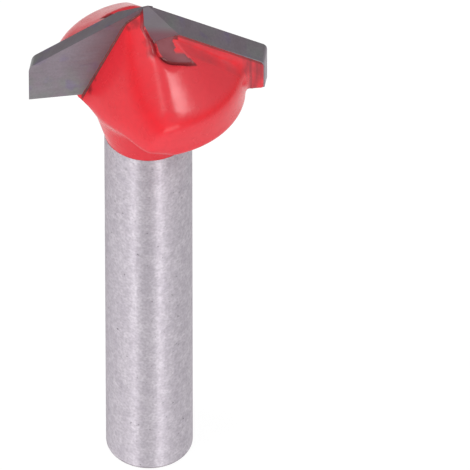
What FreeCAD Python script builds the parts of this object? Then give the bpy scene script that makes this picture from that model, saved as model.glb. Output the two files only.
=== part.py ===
import FreeCAD, Part
import math
import os

from FreeCAD import Vector

# A two-edged V groove router bit, standing on the foot of its shank.
# The origin is the centre of the foot, +Z runs up the axis to the cutting point.
# Lengths are in millimetres and angles in degrees.

# Shank and overall size
overall_height = 54.5
shank_dia = 8.0
foot_round = 0.4

# Cutting edges: two straight edges meet at the point and end in a rounded corner
cutting_dia = 21.8
vee_angle = 120.0
corner_radius = 0.8
blade_azimuth = 8.0

# Turned head: a cone on a short drum, over a tapered neck; the cone falls away below the edges
head_dia = 17.8
drum_height = 3.5
cone_relief = 8.2
cone_setback = 0.3
neck_length = 4.65
neck_taper = 16.0
neck_fillet = 1.6
rim_round = 0.45
crown_round = 0.3

# Hard metal cutting plates
plate_thickness = 1.84
plate_lift = 0.61
vee_clearance = 20.0
side_clearance = 15.0
point_overlap = 0.45
elbow_depth = 1.75

# Gullet in front of each plate: its wall leans with the plate's inner side, covers a strip of
# the plate beside it and bulges a little
wall_lean = 25.0
wall_turn = 18.0
wall_cover = 2.36
wall_bulge_radius = 28.0

# Shoulder facet between the gullet wall and the cone, steeper than the cone
shoulder_dip = 0.5
shoulder_turn = 47.6

# Filler metal between a plate and its seat, and the ledge that the plate stands on
filler_gap = 0.1
ledge_setback = 2.4

# Gash ground behind each plate to thin the point
gash_slope = 57.7
gash_turn = 10.9
gash_length = 5.3
gash_corner = 1.6
gash_width = 6.0

# Sizes that follow from those above
shank_radius = shank_dia / 2
head_radius = head_dia / 2
cutting_radius = cutting_dia / 2
vee_slope = math.radians(90 - vee_angle / 2)
vee_fall = math.tan(vee_slope)
cone_apex = overall_height - cone_setback
cone_slope = vee_slope + math.radians(cone_relief)
cone_fall = math.tan(cone_slope)
shoulder_slope = cone_slope + math.radians(shoulder_dip)
crown_height = cone_apex - head_radius * cone_fall
underside_height = crown_height - drum_height
neck_height = underside_height - neck_length
plate_bottom = underside_height + plate_lift
plate_elbow = overall_height - elbow_depth
lean = math.tan(math.radians(wall_lean))
wall_reach = (plate_elbow - plate_bottom) * lean - point_overlap + wall_cover
ledge_reach = head_radius - ledge_setback
beyond = 4 * overall_height


def prism(points, front, depth):
    """A prism from an outline in the X-Z plane at Y = front, running towards -Y."""
    corners = [Vector(x, front, z) for x, z in points]
    face = Part.Face(Part.makePolygon(corners + corners[:1]))
    return face.extrude(Vector(0, -depth, 0))


def turned_blank():
    """The shank, neck and head as they leave the lathe."""
    neck_top = underside_height
    neck_top_radius = shank_radius + (neck_top - neck_height) * math.tan(math.radians(neck_taper))
    outline = [
        (0, 0),
        (shank_radius, 0),
        (shank_radius, neck_height),
        (neck_top_radius, neck_top),
        (head_radius, underside_height),
        (head_radius, crown_height),
        (0, cone_apex),
    ]
    corners = [Vector(r, 0, z) for r, z in outline]
    face = Part.Face(Part.makePolygon(corners + corners[:1]))
    solid = face.revolve(Vector(0, 0, 0), Vector(0, 0, 1), 360)
    rounds = [
        (shank_radius, 0, foot_round),
        (neck_top_radius, neck_top, neck_fillet),
        (head_radius, underside_height, rim_round),
        (head_radius, crown_height, crown_round),
    ]
    for radius, height, size in rounds:
        solid = solid.makeFillet(size, ring_edges(solid, radius, height))
    return solid


def ring_edges(solid, radius, height):
    """The circular edges of a turned solid at one radius and height."""
    found = []
    for edge in solid.Edges:
        curve = edge.Curve
        if isinstance(curve, Part.Circle) and abs(curve.Radius - radius) < 1e-4:
            if abs(curve.Center.z - height) < 1e-4:
                found.append(edge)
    return found


def half_space(corner, along, across):
    """A large block on the outer side of the plane through a corner along two directions."""
    outward = along.cross(across).normalize()
    if outward.x < 0:
        outward = -outward
    start = corner - along * beyond - across * beyond
    side = [start, start + along * 2 * beyond, corner + (along + across) * beyond]
    face = Part.makePolygon(side + [start + across * 2 * beyond, start])
    return Part.Face(face).extrude(outward * beyond)


def gullet_cutter():
    """The space in front of a cutting face, out to the gullet wall and its shoulder facet."""
    front = Part.makeBox(2 * beyond, beyond, 2 * beyond, Vector(-beyond, 0, -beyond))
    upward = Vector(-math.sin(math.radians(wall_lean)), 0, math.cos(math.radians(wall_lean)))
    turn = math.radians(wall_turn)
    foot = Vector(wall_reach, 0, plate_bottom)
    inward = upward.cross(Vector(-math.sin(turn), math.cos(turn), 0)).normalize()
    start = foot + inward * wall_bulge_radius - upward * beyond
    kept = Part.makeCylinder(wall_bulge_radius, 2 * beyond, start, upward)

    reach = (wall_reach - (cone_apex - plate_bottom) * lean) / (1 - cone_fall * lean)
    corner = Vector(reach, 0, cone_apex - reach * cone_fall)
    turn = math.radians(shoulder_turn)
    climb = Vector(-math.cos(shoulder_slope), 0, math.sin(shoulder_slope))
    shoulder = half_space(corner, climb, Vector(-math.sin(turn), math.cos(turn), 0))
    return front.cut(kept).fuse(front.common(shoulder))


def plate_outline(behind):
    """The wire of a cutting plate's outline, at a distance behind its cutting face."""
    top_fall = behind * math.tan(math.radians(vee_clearance))
    side_fall = behind * math.tan(math.radians(side_clearance))
    outer = cutting_radius - side_fall
    bottom = plate_bottom + side_fall

    def top(x):
        return overall_height - top_fall - x * vee_fall

    half = math.radians(vee_angle / 4)
    reach = corner_radius * math.tan(half)
    run = reach * math.cos(vee_slope)
    start = Vector(outer - run, -behind, top(outer - run))
    end = Vector(outer, -behind, top(outer) - reach)
    centre = Vector(outer - corner_radius, -behind, end.z)
    middle = centre + Vector(math.cos(half), 0, math.sin(half)) * corner_radius
    foot = (plate_elbow - bottom) * lean - point_overlap
    corners = [
        end,
        Vector(outer, -behind, bottom),
        Vector(foot, -behind, bottom),
        Vector(-point_overlap, -behind, plate_elbow),
        Vector(-point_overlap, -behind, top(-point_overlap)),
        start,
    ]
    edges = [Part.makeLine(a, b) for a, b in zip(corners, corners[1:])]
    edges.append(Part.Arc(start, middle, end).toShape())
    return Part.Wire(edges)


def raw_plate():
    """A cutting plate with its clearances, before the gash."""
    return Part.makeLoft([plate_outline(0), plate_outline(plate_thickness)], True, True)


def seat_outline(gap, outer_bottom):
    """A seat's outline: the plate's inner sides moved out by a gap, open at the top and outside."""
    inner = -point_overlap - gap
    floor = plate_bottom - gap
    slant = gap / math.cos(math.radians(wall_lean))
    foot = (plate_elbow - floor) * lean - point_overlap - slant
    return [
        (inner, beyond),
        (inner, plate_elbow - (slant - gap) / lean),
        (foot, floor),
        (ledge_reach, floor),
        (ledge_reach, outer_bottom),
        (beyond, outer_bottom),
        (beyond, beyond),
    ]


def seat_cutter():
    """The slot that a plate and its filler metal sit in, open below outside the ledge."""
    outline = seat_outline(filler_gap, underside_height - neck_fillet)
    return prism(outline, filler_gap, plate_thickness + 2 * filler_gap)


def filler_blank():
    """The film of filler metal round a plate and clear of the other one, before the head trims it."""
    depth = plate_thickness + filler_gap
    film = prism(seat_outline(filler_gap, plate_bottom), filler_gap, depth + filler_gap)
    pocket = prism(seat_outline(0, plate_bottom), 0, plate_thickness)
    other = prism(seat_outline(0, plate_bottom), filler_gap, depth)
    other_half = Part.makeBox(beyond, beyond, beyond, Vector(-beyond, -filler_gap, 0))
    return film.cut([pocket, turned_to(other, 180), other_half])


def gash_cutter():
    """The block of metal that the gash takes away behind a plate's point."""
    slope = math.radians(gash_slope)
    turn = math.radians(gash_turn)
    heading = Vector(-math.sin(turn), -math.cos(turn), 0)
    along = Vector(math.cos(turn), -math.sin(turn), 0)
    down = heading * math.cos(slope) - Vector(0, 0, math.sin(slope))
    outward = heading * math.sin(slope) + Vector(0, 0, math.cos(slope))
    point = Vector(0, 0, overall_height)

    def place(x, fall):
        return point + along * ((x - down.x * fall) / along.x) + down * fall

    edge = -point_overlap - filler_gap / 2
    elbow = elbow_depth / math.sin(slope)
    corner = place(0.9, gash_length - gash_corner / 4)
    left = [place(edge, -elbow), place(edge, elbow), place(0.35, gash_length - gash_corner)]
    bottom = [place(gash_corner + 0.2, gash_length), place(gash_width, gash_length)]
    edges = [
        Part.makeLine(left[0], left[1]),
        Part.makeLine(left[1], left[2]),
        Part.Arc(left[2], corner, bottom[0]).toShape(),
        Part.makeLine(bottom[0], bottom[1]),
        Part.makeLine(bottom[1], place(gash_width, -elbow)),
        Part.makeLine(place(gash_width, -elbow), left[0]),
    ]
    return Part.Face(Part.Wire(edges)).extrude(outward * gash_length)


def turned_to(solid, azimuth):
    """A copy of a solid, turned about the axis."""
    copy = solid.copy()
    copy.rotate(Vector(0, 0, 0), Vector(0, 0, 1), azimuth)
    return copy


def main():
    os.makedirs("parts", exist_ok=True)
    azimuths = [blade_azimuth, blade_azimuth + 180]
    names = ["rear", "front"]

    head = turned_blank()
    gullet = gullet_cutter()
    head = head.cut([gullet, turned_to(gullet, 180)])
    gash = gash_cutter()
    head = head.cut([gash, turned_to(gash, 180)])
    seat = seat_cutter()
    body = head.cut([seat, turned_to(seat, 180)])
    plate = raw_plate().cut(gash)
    film = filler_blank().common(head)

    solids = {"body": turned_to(body, blade_azimuth)}
    for name, azimuth in zip(names, azimuths):
        solids["cutting_plate_" + name] = turned_to(plate, azimuth)
        solids["braze_film_" + name] = turned_to(film, azimuth)
    for name, solid in solids.items():
        print(name, len(solid.Solids), round(solid.Volume, 3), solid.isValid())
        solid.exportStep("parts/" + name + ".step")


main()
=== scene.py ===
import math

import bpy
import numpy as np
from mathutils import Matrix, Vector


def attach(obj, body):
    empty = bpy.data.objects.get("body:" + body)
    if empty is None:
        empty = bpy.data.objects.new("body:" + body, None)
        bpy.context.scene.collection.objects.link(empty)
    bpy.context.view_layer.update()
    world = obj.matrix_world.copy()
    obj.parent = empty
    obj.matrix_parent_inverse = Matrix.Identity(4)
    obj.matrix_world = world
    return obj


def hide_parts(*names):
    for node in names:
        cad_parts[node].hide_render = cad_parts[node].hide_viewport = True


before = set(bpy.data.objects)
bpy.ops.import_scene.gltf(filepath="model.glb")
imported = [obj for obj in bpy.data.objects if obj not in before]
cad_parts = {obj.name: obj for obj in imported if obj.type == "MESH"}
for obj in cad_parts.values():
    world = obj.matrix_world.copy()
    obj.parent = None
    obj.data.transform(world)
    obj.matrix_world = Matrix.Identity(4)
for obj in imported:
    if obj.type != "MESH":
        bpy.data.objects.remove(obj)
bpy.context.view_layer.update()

bl_info = {
    "name": "V groove router bit",
    "version": (1, 0, 0),
    "blender": (4, 5, 0),
    "location": "View3D > Sidebar > Router bit",
    "description": "Finishes a V groove router bit and sets it on a studio floor",
    "category": "Object",
}

MM = 0.001

# The blades, in the order of their half turns. A blade's own frame has X out along the blade,
# -Y behind its cutting face and Z up the axis. Its places are in millimetres.
SIDES = ("rear", "front")
BLADE_AZIMUTH = 8.0

# Sizes and places of the machined faces, as on the solid model, in millimetres and degrees
POINT = Vector((0, 0, 54.5))
PLATE_THICKNESS = 1.84
CLEARANCE_NORMAL = Vector((math.tan(math.radians(30)), -math.tan(math.radians(20)), 1)).normalized()
GASH_SLOPE = 57.7
GASH_TURN = 10.9
GASH_LENGTH = 5.3
WALL_FOOT = Vector((5.85, 0, 44.3))
WALL_OUTWARD = Vector((0.862, 0.280, 0.402))
WALL_ACROSS = Vector((-0.309, 0.951, 0))
WALL_BULGE = 28.0
CROWN_RADIUS = 8.9
CROWN_HEIGHT = 47.2
SHANK_RADIUS = 4.0
FOOT_ROUND = 0.4

# The seam between a plate and the gullet wall, along the cutting face
SEAM = (Vector((5.86, 0, 44.36)), Vector((1.96, 0, 52.62)), Vector((0.1, 0, 54.05)))

# The lip where the enamel ends is a short cone, from inside the shank to outside it. The shank
# reaches a little way up into it. All in millimetres, heights above the end of the enamel.
LIP_INSET = 0.04
LIP_RISE = 0.06
LIP_LENGTH = 0.4
LIP_CENTRE = 0.12
BODY_CUT = 0.15
SHANK_LAP = 0.06

# How far the coated plates are set in and down, and how far their coat stays below the gash face
COAT_INSET = 0.06
GASH_BARE = 0.05

# How the coat settles on the remeshed head: name, passes and the vertices that move
FLOW_STEPS = (("settle", 6, ""), ("flow", 90, "flow"), ("pool", 350, "pool"), ("relax", 4, ""))

# The block that stands for the grinding wheel, down the gash, along it and outward, and how far
# it stays off the gash face, in millimetres
WHEEL_SIZE = (3.0, 2.2, 4.0)
WHEEL_DOWN = 3.0
WHEEL_ALONG = -0.5
WHEEL_GAP = 0.003

# Stains of flux and dust on the enamel: place in a blade's frame and reach in mm, strength
STAINS = (
    ((1.25, 0.45, 53.0), 0.75, 0.6),
    ((1.75, 0.35, 52.3), 0.45, 0.6),
    ((0.15, 2.2, 52.1), 0.7, 0.65),
    ((-0.05, 2.9, 51.55), 0.75, 0.65),
    ((0.0, 1.3, 52.7), 0.5, 0.6),
    ((5.3, 0.35, 45.1), 0.5, 0.8),
    ((4.8, 0.15, 46.2), 0.4, 0.5),
)

# Soft lamps: name, azimuth and elevation in degrees, distance and size in metres, radiance, and
# the one piece that the lamp lights, where it doesn't light everything
LAMPS = (
    ("key_softbox", -72, 52, 0.7, (0.45, 0.4), 3.5, ""),
    ("side_softbox", 72, 44, 0.6, (0.3, 0.3), 0.25, ""),
    ("top_strip", 49, 54, 0.45, (0.13, 0.085), 9.0, ""),
    ("front_fill", 0, 14, 0.6, (0.6, 0.22), 2.0, "enamelled_head"),
    ("left_fill", -100, 14, 0.6, (0.4, 0.3), 0.6, "ground_shank"),
    ("right_strip", 25, 12, 0.5, (0.075, 0.25), 7.5, "ground_shank"),
    ("left_strip", -33, 12, 0.5, (0.06, 0.25), 8.0, "ground_shank"),
)
LAMP_AIM = Vector((0, 0, 45.0)) * MM

# The middle of the picture from the foot's centre: right, up and towards the camera
VIEW_CENTRE = Vector((7.88, 18.87, 20.6)) * MM
SENSOR_WIDTH = 36

# Brightness of the floor as the camera sees it, the share of that in its material, and the
# brightness of the sky at the zenith, its rise along a direction and its level below the horizon
FLOOR_GLOW = 1.08
GLOW_SHARE = 0.85
SKY_LEVEL = 0.5
SKY_LEAN = (0.1, -0.2, 0)
GROUND_LEVEL = 0.45


def linear(code):
    """An sRGB hex colour as linear red, green, blue and alpha."""
    values = [int(code[i:i + 2], 16) / 255 for i in (1, 3, 5)]
    return [v / 12.92 if v <= 0.04045 else ((v + 0.055) / 1.055) ** 2.4 for v in values] + [1.0]


def ramp(values, start, end):
    """0 up to a start and 1 from an end, in a straight line between them."""
    return np.clip((values - start) / (end - start), 0, 1)


def blade_direction(vector, half_turn):
    """A direction or place in a blade's own frame, as it stands in the object's frame."""
    turn = math.radians(BLADE_AZIMUTH + 180 * half_turn)
    return Matrix.Rotation(turn, 3, "Z") @ Vector(vector)


def gash_axes():
    """The gash face's directions along the blade, down the face and outward, in a blade's frame."""
    slope = math.radians(GASH_SLOPE)
    turn = math.radians(GASH_TURN)
    heading = Vector((-math.sin(turn), -math.cos(turn), 0))
    along = Vector((math.cos(turn), -math.sin(turn), 0))
    down = heading * math.cos(slope) - Vector((0, 0, math.sin(slope)))
    outward = heading * math.sin(slope) + Vector((0, 0, math.cos(slope)))
    return along, down, outward


def only_select(*objects):
    """Selects these objects and nothing else, with the first one active."""
    bpy.ops.object.select_all(action="DESELECT")
    for item in objects:
        item.select_set(True)
    bpy.context.view_layer.objects.active = objects[0]


def edit_all(item):
    """Opens an object in edit mode with all of its mesh selected."""
    only_select(item)
    bpy.ops.object.mode_set(mode="EDIT")
    bpy.ops.mesh.select_all(action="SELECT")


def add_mesh(make, **settings):
    """A new mesh by one of Blender's own operators, with its place and size applied."""
    bpy.ops.object.select_all(action="DESELECT")
    make(**settings)
    bpy.ops.object.transform_apply(location=True, rotation=True, scale=True)
    return bpy.context.active_object


def joined(parts):
    """Several meshes as one."""
    only_select(*parts)
    bpy.ops.object.join()
    return bpy.context.active_object


def merged_copy(name):
    """A plain copy of a solid's mesh, with its loose triangles merged."""
    only_select(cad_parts[name])
    bpy.ops.object.duplicate()
    copy = bpy.context.active_object
    copy.parent = None
    copy.matrix_world = Matrix.Identity(4)
    for key in list(copy.keys()):
        del copy[key]
    edit_all(copy)
    bpy.ops.mesh.remove_doubles(threshold=1e-6)
    bpy.ops.object.mode_set(mode="OBJECT")
    return copy


def finish_piece(item, name, material, slot, *replaced):
    """Names a finished mesh, gives it its material and hands it to the frame."""
    item.name = name
    item.data.name = name
    item.data.materials.clear()
    item.data.materials.append(material)
    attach(item, "root")
    if replaced:
        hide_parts(*replaced)


def node(tree, kind, inputs=None, **settings):
    """Adds a node with its settings, and with its inputs set to values or linked to sockets."""
    made = tree.nodes.new(kind)
    for name, value in settings.items():
        setattr(made, name, value)
    for key, value in (inputs or {}).items():
        if isinstance(value, bpy.types.Node):
            value = value.outputs[0]
        if isinstance(value, bpy.types.NodeSocket):
            tree.links.new(value, made.inputs[key])
        else:
            made.inputs[key].default_value = value
    return made


def new_material(name):
    """An empty node material and its tree."""
    material = bpy.data.materials.new(name)
    material.use_nodes = True
    material.node_tree.nodes.clear()
    return material, material.node_tree


def surface_place(tree):
    """The place on the object in millimetres, and the direction that its surface faces."""
    where = node(tree, "ShaderNodeTexCoord")
    place = node(tree, "ShaderNodeVectorMath", {0: where.outputs["Object"], 3: 1 / MM},
                 operation="SCALE")
    return place, where.outputs["Normal"]


def plane_distance(tree, place, point, direction, half_turn):
    """How far a place lies beyond a blade's plane, in millimetres."""
    normal = blade_direction(direction, half_turn)
    offset = normal.dot(blade_direction(point, half_turn))
    along = node(tree, "ShaderNodeVectorMath", {0: place, 1: normal}, operation="DOT_PRODUCT")
    return node(tree, "ShaderNodeMath", {0: along.outputs["Value"], 1: offset},
                operation="SUBTRACT")


def between(tree, value, low, high, blur):
    """1 where a value lies between two limits, fading to 0 over a blur beyond them."""
    rise = node(tree, "ShaderNodeMapRange", {0: value, 1: low - blur, 2: low},
                interpolation_type="SMOOTHSTEP")
    fall = node(tree, "ShaderNodeMapRange", {0: value, 1: high, 2: high + blur, 3: 1.0, 4: 0.0},
                interpolation_type="SMOOTHSTEP")
    return product(tree, rise, fall)


def product(tree, *values):
    """The product of several masks."""
    result = values[0]
    for value in values[1:]:
        result = node(tree, "ShaderNodeMath", {0: result, 1: value}, operation="MULTIPLY")
    return result


def within(tree, *limits):
    """1 where every value lies between its limits. Each is a value, low, high and blur in mm."""
    return product(tree, *(between(tree, *limit) for limit in limits))


def strongest(tree, *masks):
    """The strongest of several masks."""
    result = masks[0]
    for mask in masks[1:]:
        result = node(tree, "ShaderNodeMath", {0: result, 1: mask}, operation="MAXIMUM")
    return result


def painted(tree, colour, *layers):
    """A hex colour with others laid over it in turn, each where its mask says so."""
    result = linear(colour)
    for share, over in layers:
        over = linear(over) if isinstance(over, str) else over
        mix = node(tree, "ShaderNodeMix", {0: share, 6: result, 7: over}, data_type="RGBA")
        result = mix.outputs[2]
    return result


def noise(tree, place, size, detail, low=0, high=1, stretch=(1, 1, 1)):
    """A noise of a given size in millimetres, spread over 0 to 1 between two of its levels."""
    scaled = node(tree, "ShaderNodeMapping", {"Vector": place, "Scale": stretch})
    field = node(tree, "ShaderNodeTexNoise",
                 {"Vector": scaled, "Scale": 1 / size, "Detail": detail})
    return node(tree, "ShaderNodeMapRange", {0: field, 1: low, 2: high})


def faces_gash(tree, facing, low, half_turn):
    """1 where the surface faces as a blade's gash does, from a given cosine of the angle."""
    outward = blade_direction(gash_axes()[2], half_turn)
    level = node(tree, "ShaderNodeVectorMath", {0: facing, 1: outward}, operation="DOT_PRODUCT")
    return node(tree, "ShaderNodeMapRange", {0: level.outputs["Value"], 1: low, 2: 0.985})


def stains(tree, place):
    """The soft stains round both blades, as one mask. A noise moves places, for ragged edges."""
    ragged = node(tree, "ShaderNodeTexNoise", {"Vector": place, "Scale": 1 / 0.5, "Detail": 2.0})
    wander = node(tree, "ShaderNodeVectorMath",
                  {0: ragged.outputs["Color"], 1: (0.5, 0.5, 0.5)}, operation="SUBTRACT")
    moved = node(tree, "ShaderNodeVectorMath", {0: wander, 1: (0.7, 0.7, 0.7), 2: place},
                 operation="MULTIPLY_ADD")
    spots = []
    for centre, reach, strength in STAINS:
        for half_turn in (0, 1):
            away = node(tree, "ShaderNodeVectorMath",
                        {0: moved, 1: blade_direction(centre, half_turn)}, operation="DISTANCE")
            spots.append(node(tree, "ShaderNodeMapRange", {
                0: away.outputs["Value"], 1: reach, 2: reach * 0.3, 3: 0.0, 4: strength}))
    return strongest(tree, *spots)


def enamel_marks(tree, place, facing, half_turn):
    """A blade's enamel marks as masks: bare, notch shade and braze, side shade, dusty, dull, seam.
    """
    along, down, outward = gash_axes()
    height = plane_distance(tree, place, POINT, outward, half_turn)
    fall = plane_distance(tree, place, POINT, down, half_turn)
    across = plane_distance(tree, place, POINT, along, half_turn)
    above = plane_distance(tree, place, POINT, CLEARANCE_NORMAL, half_turn)
    behind = plane_distance(tree, place, (0, 0, 0), (0, -1, 0), half_turn)
    outside = plane_distance(tree, place, (0, 0, 0), (1, 0, 0), half_turn)

    # The wheel's cut is bare, but for a ragged lobe of enamel that stayed on it
    ground = product(tree, faces_gash(tree, facing, 0.955, half_turn), within(
        tree, (height, -0.09, 0.09, 0.04), (behind, 0.4, 9, 0.1), (fall, 0, GASH_LENGTH, 0.1),
        (across, -0.6, 5, 0.1)))
    ragged = noise(tree, place, 0.7, 3)
    wandered = node(tree, "ShaderNodeMath", {0: ragged, 1: 1.4, 2: across},
                    operation="MULTIPLY_ADD")
    lobe = within(tree, (wandered, 3.2, 9, 0.08), (fall, 2.5, 4.1, 0.3))
    bare = product(tree, ground, node(tree, "ShaderNodeMath", {0: 1.0, 1: lobe},
                                      operation="SUBTRACT"))

    # The foot of the cut is painted dark, as painted shade on its end face, and a dark line stands
    # for the braze behind the plate
    foot = within(tree, (fall, 4.75, GASH_LENGTH, 0.15), (across, 1.0, 4.4, 0.5),
                  (height, -0.02, 0.5, 0.1), (behind, 1, 9, 0.5))
    line = within(tree, (behind, 1.8, 1.98, 0.05), (height, -0.3, 0.1, 0.1),
                  (across, -0.6, 2.7, 0.2), (fall, 0.3, 3.4, 0.2))

    # The cut's inner edge slants across, and the enamel beside it is painted dark: painted shade of
    # the cut's side wall
    edge = node(tree, "ShaderNodeMapRange", {0: fall, 1: 2.07, 2: 3.7, 3: -0.4, 4: 0.74})
    beside = node(tree, "ShaderNodeMath", {0: across, 1: edge}, operation="SUBTRACT")
    side = within(tree, (beside, -0.2, 0.1, 0.15), (fall, 0.2, 4.2, 0.6), (height, -0.3, 1, 0.2))

    # Dust clings below the clearance face, and the coat on the plate's outer end is dull
    strip = within(tree, (above, -1.0, 0.2, 0.7), (behind, 1.5, 2.8, 0.4), (outside, 1.2, 11, 0.6))
    wing = within(tree, (outside, 8.6, 12, 0.4), (behind, 1.5, 2.2, 0.2))

    # Dark brown lines follow the plate: on the cutting face, painted shade of the crevice beside
    # the wall, and along the top edge of its back
    inner = within(tree, (behind, -0.12, 0.3, 0.07), (outside, 0.3, 6, 0.2), (fall, -9, 9, 0.3))
    outer = within(tree, (above, -0.2, 0.3, 0.1), (behind, 1.2, 2.7, 0.2), (outside, 1.6, 11, 0.5))
    seam = strongest(tree, product(tree, inner, 0.85), product(tree, outer, 0.6))
    return bare, strongest(tree, foot, line), product(tree, side, 0.7), strip, wing, seam


def enamel_material(finish):
    """Stoved alkyd enamel, sprayed thick: glossy red, rubbed through where the wheel passed."""
    material, tree = new_material("red_stoving_enamel")
    place, facing = surface_place(tree)
    marks = [enamel_marks(tree, place, facing, half_turn) for half_turn in (0, 1)]
    bare, notch_shade_and_braze_line, stained, dusty, dull, seam = (strongest(tree, *pair) for pair in zip(*marks))
    # The stained mask is the painted shade beside each cut, with the stains added to it
    stained = strongest(tree, stained, stains(tree, place))

    # Upright faces are painted lighter and upward faces darker and greyer: painted light and shade,
    # by the way each faces
    cloud = noise(tree, place, 1.6, 3, 0.3, 0.7)
    speck = noise(tree, place, 0.45, 3, 0.4, 0.7)
    streak = noise(tree, place, 0.4, 2, 0.35, 0.65, stretch=(1, 1, 0.12))
    tilt = node(tree, "ShaderNodeSeparateXYZ", {0: facing}).outputs["Z"]
    painted_side_light = between(tree, tilt, -2, 0.2, 0.35)
    painted_top_shade = node(tree, "ShaderNodeMapRange", {0: tilt, 1: 0.55, 2: 0.75, 3: 0.0, 4: 0.6})
    grime = node(tree, "ShaderNodeMath", {0: cloud, 1: 0.6, 2: 0.2}, operation="MULTIPLY_ADD")
    metal = painted(tree, "#76363C", (grime, "#8C5A60"))
    colour = painted(
        tree, finish.enamel_colour,
        (product(tree, cloud, 0.3), "#CE1420"),
        # Painted light and shade: upright faces lighter, upward faces darker and greyer
        (product(tree, painted_side_light, 0.55), "#F04450"),
        (painted_top_shade, "#CE3C46"),
        (product(tree, speck, 0.1), "#A01820"),
        (product(tree, dusty, cloud, 0.45), "#8E3A40"),
        (product(tree, dull, streak, 0.7), "#8E2A36"),
        # Painted crevice shade along each plate's cutting face, and a dark line along its back
        (seam, "#5E2A28"),
        # Stains, and painted shade beside each cut
        (stained, "#761820"),
        # Painted shade at the foot of each cut, and the dark braze line behind the plate
        (product(tree, notch_shade_and_braze_line, 0.8), "#4A1A1C"),
        (bare, metal))

    # Bare metal and dust are rougher than the enamel, and the thin coat on the neck shines less
    fresh = node(tree, "ShaderNodeMapRange", {0: cloud, 3: 0.2, 4: 0.3})
    worn = strongest(tree, bare, product(tree, dusty, 0.6))
    rough = node(tree, "ShaderNodeMix", {0: worn, 2: fresh, 3: 0.5})
    level = node(tree, "ShaderNodeSeparateXYZ", {0: place}).outputs["Z"]
    gloss = node(tree, "ShaderNodeMapRange", {0: level, 1: 43.2, 2: 45.0, 3: 0.1, 4: 0.5})
    ripple = noise(tree, place, 1.1, 2)
    bump = node(tree, "ShaderNodeBump",
                {"Strength": 0.35, "Distance": 0.03 * MM, "Height": ripple})
    shader = node(tree, "ShaderNodeBsdfPrincipled", {
        "Base Color": colour, "Roughness": rough, "Metallic": product(tree, bare, 0.6),
        "IOR": 1.46, "Specular IOR Level": gloss, "Normal": bump})
    node(tree, "ShaderNodeOutputMaterial", {"Surface": shader})
    return material


def steel_material(finish):
    """Tool steel, centreless ground: fine marks round the shank draw highlights out along it."""
    material, tree = new_material("ground_tool_steel")
    place = surface_place(tree)[0]
    tangent = node(tree, "ShaderNodeTangent", direction_type="RADIAL", axis="Z")
    # Real marks are about 0.02 mm wide. These are 0.075 mm, so that they show.
    marks = noise(tree, place, 0.9, 4, 0.3, 0.7, stretch=(0.5, 0.5, 12))
    cloud = noise(tree, place, 0.9, 5, 0.35, 0.65)
    grit = noise(tree, place, 0.25, 4, 0.35, 0.65)
    pit = noise(tree, place, 0.45, 3, 0.68, 0.76)
    level = node(tree, "ShaderNodeSeparateXYZ", {0: place}).outputs["Z"]
    # The foot is painted darker: painted shade where the shank stands on the floor
    foot = between(tree, level, -1, 0.2, 0.25)
    colour = painted(
        tree, finish.steel_colour,
        (product(tree, cloud, 0.5), "#BAB2BD"),
        (product(tree, grit, 0.5), "#ABA3AC"),
        (product(tree, foot, 0.7), "#857A80"),
        (product(tree, pit, 0.7), "#5E555C"))
    rough = node(tree, "ShaderNodeMapRange", {0: marks, 3: 0.46, 4: 0.58})
    bump = node(tree, "ShaderNodeBump",
                {"Strength": 0.5, "Distance": 0.006 * MM, "Height": marks})
    shader = node(tree, "ShaderNodeBsdfPrincipled", {
        "Base Color": colour, "Roughness": rough, "Metallic": 1.0, "Normal": bump,
        "Anisotropic": 0.9, "Anisotropic Rotation": 0.25, "Tangent": tangent})
    node(tree, "ShaderNodeOutputMaterial", {"Surface": shader})
    return material


def carbide_marks(tree, place, facing, half_turn):
    """One blade's marks on its plate, as masks: gash face, inner end and stained gash foot."""
    facet = faces_gash(tree, facing, 0.97, half_turn)
    outside = plane_distance(tree, place, (0, 0, 0), (1, 0, 0), half_turn)
    before = plane_distance(tree, place, (0, -0.05, 0), (0, 1, 0), half_turn)
    inner = within(tree, (outside, -1, 2.5, 6), (before, 0, 0.1, 0.02))
    depth = plane_distance(tree, place, (0, 0, 52.3), (0, 0, -1), half_turn)
    return facet, inner, product(tree, facet, between(tree, depth, 0.1, 3, 0.8))


def carbide_material(finish):
    """Cemented tungsten carbide, diamond ground: dark grey, half matt, with faint green and violet
    painted reflections.
    """
    material, tree = new_material("ground_tungsten_carbide")
    place, facing = surface_place(tree)
    marks = [carbide_marks(tree, place, facing, half_turn) for half_turn in (0, 1)]
    facet, inner, stained = (strongest(tree, *pair) for pair in zip(*marks))
    # Real scratches are about 0.02 mm wide. These are 0.25 mm, so that they show.
    scratch = noise(tree, place, 0.25, 3, 0.3, 0.7, stretch=(0.12, 0.12, 1))
    cloud = noise(tree, place, 2.2, 3, 0.35, 0.65)
    painted_green_reflection = noise(tree, place, 3.1, 2, 0.5, 0.7)
    painted_violet_reflection = noise(tree, place, 1.7, 2, 0.55, 0.7)
    grit = noise(tree, place, 0.2, 2, 0.3, 0.7)
    colour = painted(
        tree, finish.carbide_colour,
        (product(tree, cloud, 0.45), "#84767D"),
        # Painted reflections: faint blurred green and violet tints
        (product(tree, painted_green_reflection, 0.6), "#8A948C"),
        (product(tree, painted_violet_reflection, 0.6), "#86799A"),
        (product(tree, grit, 0.25), "#6F686F"),
        (product(tree, facet, 0.6), "#938B90"),
        (product(tree, inner, 0.6), "#7A646B"),
        (product(tree, stained, 0.8), "#96606A"))
    rough = node(tree, "ShaderNodeMapRange", {0: scratch, 3: 0.36, 4: 0.5})
    bump = node(tree, "ShaderNodeBump",
                {"Strength": 0.4, "Distance": 0.004 * MM, "Height": scratch})
    shader = node(tree, "ShaderNodeBsdfPrincipled", {
        "Base Color": colour, "Roughness": rough, "Metallic": 1.0, "Normal": bump})
    node(tree, "ShaderNodeOutputMaterial", {"Surface": shader})
    return material


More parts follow.
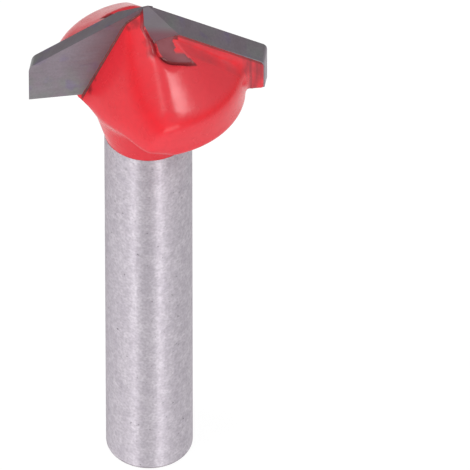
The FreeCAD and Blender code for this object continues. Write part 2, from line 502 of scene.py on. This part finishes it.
def braze_material():
    """Silver brazing alloy, dulled by its flux: a thin brown line between plate and body."""
    material, tree = new_material("dull_silver_braze")
    stain = noise(tree, surface_place(tree)[0], 0.6, 3, 0.35, 0.65)
    shader = node(tree, "ShaderNodeBsdfPrincipled", {
        "Base Color": painted(tree, "#8A6A66", (stain, "#5E4244")),
        "Roughness": 0.5, "Metallic": 0.8})
    node(tree, "ShaderNodeOutputMaterial", {"Surface": shader})
    return material


class BIT_PG_finish(bpy.types.PropertyGroup):
    """Colours and coat sizes of the bit"""
    enamel_colour: bpy.props.StringProperty(
        name="Enamel colour", description="Colour of the enamel on the head, as an sRGB hex code",
        default="#E8202D")
    steel_colour: bpy.props.StringProperty(
        name="Steel colour", description="Colour of the ground shank, as an sRGB hex code",
        default="#DDD7DE")
    carbide_colour: bpy.props.StringProperty(
        name="Carbide colour", description="Colour of the cutting plates, as an sRGB hex code",
        default="#978D96")
    coat_thickness: bpy.props.FloatProperty(
        name="Enamel thickness", description="Thickness of the enamel over the backs of the plates",
        default=0.08 * MM, min=0.02 * MM, max=0.2 * MM, unit="LENGTH", precision=5)
    enamel_end: bpy.props.FloatProperty(
        name="End of the enamel", description="Height above the foot at which the enamel ends",
        default=38.93 * MM, min=30 * MM, max=43 * MM, unit="LENGTH", precision=5)
    bead_radius: bpy.props.FloatProperty(
        name="Braze bead radius", description="Radius of the bead of braze along each plate's seam",
        default=0.07 * MM, min=0.03 * MM, max=0.2 * MM, unit="LENGTH", precision=5)
    grain: bpy.props.FloatProperty(
        name="Coat mesh size", description="Size of the faces that the head is meshed with",
        default=0.12 * MM, min=0.1 * MM, max=0.5 * MM, unit="LENGTH", precision=5)


class BIT_OT_head(bpy.types.Operator):
    """Makes the head as one soft enamelled form over the body, the braze and the plates' backs"""
    bl_idname = "router_bit.head"
    bl_label = "Enamelled head"

    def execute(self, context):
        finish = context.scene.bit_finish
        parts = [self.cut_body(finish), self.enamel_lip(finish)]
        for half_turn, side in enumerate(SIDES):
            parts.append(merged_copy("braze_film_" + side))
            parts.append(self.coated_plate(finish, side, half_turn))
        head = joined(parts)
        remesh = head.modifiers.new("coat", "REMESH")
        remesh.mode = "VOXEL"
        remesh.voxel_size = finish.grain
        bpy.ops.object.modifier_apply(modifier=remesh.name)
        self.mark_flow(head)
        for name, passes, group in FLOW_STEPS:
            smooth = head.modifiers.new(name, "SMOOTH")
            smooth.factor = 0.5
            smooth.iterations = passes
            smooth.vertex_group = group
            bpy.ops.object.modifier_apply(modifier=name)
        bpy.ops.object.shade_smooth()
        finish_piece(head, "enamelled_head", enamel_material(finish), "painted_steel_body", "body")
        return {"FINISHED"}

    def cut_body(self, finish):
        """The body's copy, from just above the end of the enamel."""
        body = merged_copy("body")
        edit_all(body)
        bpy.ops.mesh.bisect(
            plane_co=(0, 0, finish.enamel_end + BODY_CUT * MM), plane_no=(0, 0, 1),
            use_fill=True, clear_inner=True, threshold=1e-7)
        bpy.ops.object.mode_set(mode="OBJECT")
        return body

    def enamel_lip(self, finish):
        """The short cone in which the enamel ends on the shank."""
        return add_mesh(
            bpy.ops.mesh.primitive_cone_add, vertices=128, radius1=(SHANK_RADIUS - LIP_INSET) * MM,
            radius2=(SHANK_RADIUS + LIP_RISE) * MM, depth=LIP_LENGTH * MM,
            location=(0, 0, finish.enamel_end + LIP_CENTRE * MM))

    def coated_plate(self, finish, side, half_turn):
        """A plate's copy set back, so that enamel covers its back and underside only."""
        plate = merged_copy("cutting_plate_" + side)
        outward = blade_direction(gash_axes()[2], half_turn)
        edit_all(plate)
        bpy.ops.transform.translate(value=blade_direction(
            (-COAT_INSET * MM, -finish.coat_thickness, -COAT_INSET * MM), half_turn))
        bpy.ops.mesh.bisect(
            plane_co=(POINT - outward * GASH_BARE) * MM, plane_no=outward,
            use_fill=True, clear_outer=True, threshold=1e-7)
        bpy.ops.object.mode_set(mode="OBJECT")
        return plate

    def mark_flow(self, head):
        """Marks where the wet enamel flowed: everywhere a little, most over the turned ridges."""
        places = np.empty(len(head.data.vertices) * 3)
        head.data.vertices.foreach_get("co", places)
        places = places.reshape(-1, 3) / MM
        height = places[:, 2]
        radius = np.hypot(places[:, 0], places[:, 1])
        clear, crisp = np.ones(len(places)), np.ones(len(places))

        # The enamel pools over the crown and the gullets' walls, and stays thin on the ridges
        # that stand square to the blades
        pool = ramp(np.hypot(radius - CROWN_RADIUS, height - CROWN_HEIGHT), 2.8, 1.6)
        for half_turn in (0, 1):
            axes = np.array([blade_direction(axis, half_turn) for axis in np.eye(3)])
            turned = places @ axes.T
            clear = np.minimum(clear, self.edge_clearance(turned))
            pool = np.maximum(pool, self.wall_nearness(turned, radius))
            ridge = abs(np.degrees(np.arctan2(turned[:, 1], turned[:, 0])) - 97) < 9
            crisp = np.where(ridge & (radius < 7.8) & (radius > 3.5), 0.3, crisp)
        clear *= crisp
        pool *= clear * ramp(height, 39.6, 40.8)

        # It moves little round the rim of the underside and at the foot of the neck
        rim = ramp(height, 45.2, 44.6) * ramp(radius, 7, 7.6)
        flow = clear * np.maximum(ramp(height, 40, 44), 0.1) * (1 - 0.8 * rim)
        for name, weights in (("flow", flow), ("pool", pool)):
            group = head.vertex_groups.new(name=name)
            for index in np.flatnonzero(weights > 0.01):
                group.add([int(index)], float(weights[index]), "REPLACE")

    def edge_clearance(self, turned):
        """How clear each place is of the crisp edges round one plate and its gash, 0 to 1."""
        along, down, outward = (np.array(axis) for axis in gash_axes())
        x, y, z = turned.T
        point = turned - np.array(POINT)
        under = -point @ np.array(CLEARANCE_NORMAL)
        back = (x > -1) & (y > -PLATE_THICKNESS - 1.2) & (y < 0.3)
        gash = np.maximum.reduce([
            abs(point @ outward) - 0.5, point @ down - GASH_LENGTH,
            -0.6 - point @ along, point @ along - 4.6])
        below_clearance = np.where(back, ramp(under, 0.3, 1.1), 1)
        inside_end = np.where(back & (x > 8), ramp(x, 9.2, 8.7), 1)
        before_face = np.where((x > -0.6) & (y >= 0), ramp(y, 0.15, 0.95), 1)
        beside_gash = np.where(y < 0, ramp(gash, 0, 1.2), 1)
        return np.minimum.reduce([below_clearance, inside_end, before_face, beside_gash])

    def wall_nearness(self, turned, radius):
        """How near each place is to one gullet's wall, 0 to 1."""
        x, y, z = turned.T
        foot = turned - np.array(WALL_FOOT)
        depth = foot @ np.array(WALL_OUTWARD) + WALL_BULGE
        away = abs(np.hypot(depth, foot @ np.array(WALL_ACROSS)) - WALL_BULGE)
        reach = np.where((z > 45.2) | (radius < 7.4), 2.8, 1.7)
        return ramp(away, reach, reach / 2) * ramp(y, 0.5, 1.7) * (x > -7)


class BIT_OT_shank(bpy.types.Operator):
    """Makes the ground shank with its rounded foot"""
    bl_idname = "router_bit.shank"
    bl_label = "Ground shank"

    def execute(self, context):
        finish = context.scene.bit_finish
        height = finish.enamel_end + SHANK_LAP * MM
        shank = add_mesh(
            bpy.ops.mesh.primitive_cylinder_add, vertices=192, radius=SHANK_RADIUS * MM,
            depth=height, location=(0, 0, height / 2))
        edit_all(shank)
        bpy.ops.mesh.select_all(action="DESELECT")
        bpy.ops.mesh.select_mode(type="EDGE")
        bpy.ops.object.mode_set(mode="OBJECT")
        for edge in shank.data.edges:
            edge.select = all(shank.data.vertices[v].co.z < 0.01 * MM for v in edge.vertices)
        bpy.ops.object.mode_set(mode="EDIT")
        bpy.ops.mesh.bevel(offset=FOOT_ROUND * MM, segments=6)
        bpy.ops.object.mode_set(mode="OBJECT")
        bpy.ops.object.shade_smooth_by_angle(angle=math.radians(35))
        finish_piece(shank, "ground_shank", steel_material(finish), "painted_steel_body", "body")
        return {"FINISHED"}


class BIT_OT_plates(bpy.types.Operator):
    """Finishes the two cutting plates and grinds the gash right across their points"""
    bl_idname = "router_bit.plates"
    bl_label = "Cutting plates"

    def execute(self, context):
        carbide = carbide_material(context.scene.bit_finish)
        for half_turn, side in enumerate(SIDES):
            plate = merged_copy("cutting_plate_" + side)
            wheel = self.grinding_wheel(half_turn)
            cut = plate.modifiers.new("gash", "BOOLEAN")
            cut.operation = "DIFFERENCE"
            cut.object = wheel
            only_select(plate)
            bpy.ops.mesh.customdata_custom_splitnormals_clear()
            bpy.ops.object.modifier_apply(modifier=cut.name)
            only_select(wheel)
            bpy.ops.object.delete()
            only_select(plate)
            bpy.ops.object.shade_smooth_by_angle(angle=math.radians(20))
            finish_piece(plate, "ground_plate_" + side, carbide, "hard_metal",
                         "cutting_plate_" + side)
        return {"FINISHED"}

    def grinding_wheel(self, half_turn):
        """A block on the gash face, over the corner that the gash leaves standing."""
        along, down, outward = gash_axes()
        lift = WHEEL_SIZE[2] / 2 + WHEEL_GAP
        middle = POINT + down * WHEEL_DOWN + outward * lift + along * WHEEL_ALONG
        axes = [blade_direction(axis, half_turn) for axis in (down, along, outward)]
        return add_mesh(
            bpy.ops.mesh.primitive_cube_add, size=MM, scale=WHEEL_SIZE,
            location=blade_direction(middle, half_turn) * MM,
            rotation=Matrix(axes).transposed().to_euler())


class BIT_OT_braze(bpy.types.Operator):
    """Runs a thin bead of braze along each plate's seam on the cutting face"""
    bl_idname = "router_bit.braze"
    bl_label = "Braze beads"

    def execute(self, context):
        material = braze_material()
        radius = context.scene.bit_finish.bead_radius
        for half_turn, side in enumerate(SIDES):
            ends = [blade_direction(corner, half_turn) * MM for corner in SEAM]
            bead = joined([
                add_mesh(
                    bpy.ops.mesh.primitive_cylinder_add, vertices=16, radius=radius,
                    depth=(high - low).length, location=(low + high) / 2,
                    rotation=(high - low).to_track_quat("Z", "Y").to_euler())
                for low, high in zip(ends, ends[1:])])
            bpy.ops.object.shade_smooth_by_angle(angle=math.radians(40))
            finish_piece(bead, "braze_bead_" + side, material, "braze", "braze_film_" + side)
        return {"FINISHED"}


class BIT_PG_stage(bpy.types.PropertyGroup):
    """Camera and lamps"""
    elevation: bpy.props.FloatProperty(
        name="Camera elevation", description="Angle of the camera above the floor",
        default=math.radians(43.4), subtype="ANGLE")
    view_width: bpy.props.FloatProperty(
        name="View width", description="Width of the picture at the bit",
        default=42.84 * MM, unit="LENGTH", precision=5)
    distance: bpy.props.FloatProperty(
        name="Camera distance", description="Distance of the camera from the bit",
        default=1.9, unit="LENGTH")
    lamp_power: bpy.props.FloatProperty(
        name="Lamp power", description="Strength of all lamps, where 1 is their plain level",
        default=1.0, min=0)


class BIT_OT_stage(bpy.types.Operator):
    """Sets up the camera, the pale floor and the soft lamps, once the pieces are there"""
    bl_idname = "router_bit.stage"
    bl_label = "Studio"

    def execute(self, context):
        scene = context.scene
        scene.view_settings.view_transform = "Standard"
        self.camera(scene)
        self.floor()
        self.world(scene)
        for lamp in LAMPS:
            self.lamp(scene, *lamp)
        return {"FINISHED"}

    def camera(self, scene):
        """A long lens at the photograph's viewing angle."""
        stage = scene.bit_stage
        rise = stage.elevation
        right = Vector((1, 0, 0))
        up = Vector((0, math.sin(rise), math.cos(rise)))
        back = Vector((0, -math.cos(rise), math.sin(rise)))
        middle = right * VIEW_CENTRE.x + up * VIEW_CENTRE.y + back * VIEW_CENTRE.z
        data = bpy.data.cameras.new("camera")
        data.sensor_width = SENSOR_WIDTH
        data.lens = SENSOR_WIDTH * stage.distance / stage.view_width
        data.clip_start = 0.1
        data.clip_end = 20
        camera = bpy.data.objects.new("camera", data)
        scene.collection.objects.link(camera)
        camera.location = middle + back * stage.distance
        camera.rotation_euler = (math.pi / 2 - rise, 0, 0)
        scene.camera = camera

    def floor(self):
        """White paper that the camera, and what mirrors it, sees brighter than it is lit."""
        floor = add_mesh(bpy.ops.mesh.primitive_plane_add, size=0.5, location=(0, 0, 0))
        floor.name = "studio_floor"
        material, tree = new_material("white_paper")
        paper = node(tree, "ShaderNodeBsdfDiffuse", {"Color": linear("#F4F4F4")})
        glow = node(tree, "ShaderNodeEmission",
                    {"Color": linear("#FFFFFF"), "Strength": FLOOR_GLOW})
        path = node(tree, "ShaderNodeLightPath")
        seen = path.outputs["Is Camera Ray"]
        for ray in ("Is Glossy Ray", "Is Transmission Ray"):
            seen = node(tree, "ShaderNodeMath", {0: seen, 1: path.outputs[ray]},
                        operation="ADD", use_clamp=True)
        mixed = node(tree, "ShaderNodeMixShader",
                     {0: product(tree, seen, GLOW_SHARE), 1: paper, 2: glow})
        node(tree, "ShaderNodeOutputMaterial", {"Surface": mixed})
        floor.data.materials.append(material)

    def world(self, scene):
        """A pale sky, brightest at the front right, over a ground of one level."""
        world = bpy.data.worlds.new("studio")
        scene.world = world
        world.use_nodes = True
        tree = world.node_tree
        tree.nodes.clear()
        heading = node(tree, "ShaderNodeTexCoord").outputs["Generated"]
        lean = node(tree, "ShaderNodeVectorMath", {0: heading, 1: SKY_LEAN},
                    operation="DOT_PRODUCT").outputs["Value"]
        sky = node(tree, "ShaderNodeMath", {0: lean, 1: SKY_LEVEL}, operation="ADD")
        rise = node(tree, "ShaderNodeSeparateXYZ", {0: heading}).outputs["Z"]
        strength = node(tree, "ShaderNodeMapRange",
                        {0: rise, 1: -0.03, 2: 0.0, 3: GROUND_LEVEL, 4: sky})
        light = node(tree, "ShaderNodeBackground", {0: linear("#FFFFFF"), 1: strength})
        node(tree, "ShaderNodeOutputWorld", {0: light})

    def lamp(self, scene, name, azimuth, elevation, away, size, radiance, only):
        """A soft lamp aimed at the head, that lights everything or one piece only."""
        data = bpy.data.lights.new(name, "AREA")
        data.shape = "RECTANGLE"
        data.size, data.size_y = size
        data.energy = radiance * scene.bit_stage.lamp_power * math.pi * size[0] * size[1]
        lamp = bpy.data.objects.new(name, data)
        scene.collection.objects.link(lamp)
        turn, rise = math.radians(azimuth), math.radians(elevation)
        toward = Vector((
            math.sin(turn) * math.cos(rise), -math.cos(turn) * math.cos(rise), math.sin(rise)))
        lamp.location = LAMP_AIM + toward * away
        lamp.rotation_euler = toward.to_track_quat("Z", "Y").to_euler()
        lamp.visible_camera = False
        if only:
            lit = bpy.data.collections.new("lit_by_" + name)
            lit.objects.link(bpy.data.objects[only])
            lamp.light_linking.receiver_collection = lit


class BIT_PT_panel(bpy.types.Panel):
    """Lists the steps and settings of the bit"""
    bl_label = "Router bit"
    bl_idname = "BIT_PT_panel"
    bl_space_type = "VIEW_3D"
    bl_region_type = "UI"
    bl_category = "Router bit"

    def draw(self, context):
        for settings in (context.scene.bit_finish, context.scene.bit_stage):
            for name in settings.bl_rna.properties.keys():
                if name not in ("rna_type", "name"):
                    self.layout.prop(settings, name)
        for step in STEPS:
            self.layout.operator(step.bl_idname)


STEPS = (BIT_OT_head, BIT_OT_shank, BIT_OT_plates, BIT_OT_braze, BIT_OT_stage)
CLASSES = (BIT_PG_finish, BIT_PG_stage) + STEPS + (BIT_PT_panel,)


def register():
    for item in CLASSES:
        bpy.utils.register_class(item)
    bpy.types.Scene.bit_finish = bpy.props.PointerProperty(type=BIT_PG_finish)
    bpy.types.Scene.bit_stage = bpy.props.PointerProperty(type=BIT_PG_stage)


def unregister():
    del bpy.types.Scene.bit_stage
    del bpy.types.Scene.bit_finish
    for item in reversed(CLASSES):
        bpy.utils.unregister_class(item)


def main():
    register()
    bpy.ops.router_bit.head()
    bpy.ops.router_bit.shank()
    bpy.ops.router_bit.plates()
    bpy.ops.router_bit.braze()
    bpy.ops.router_bit.stage()


if __name__ == "__main__":
    main()
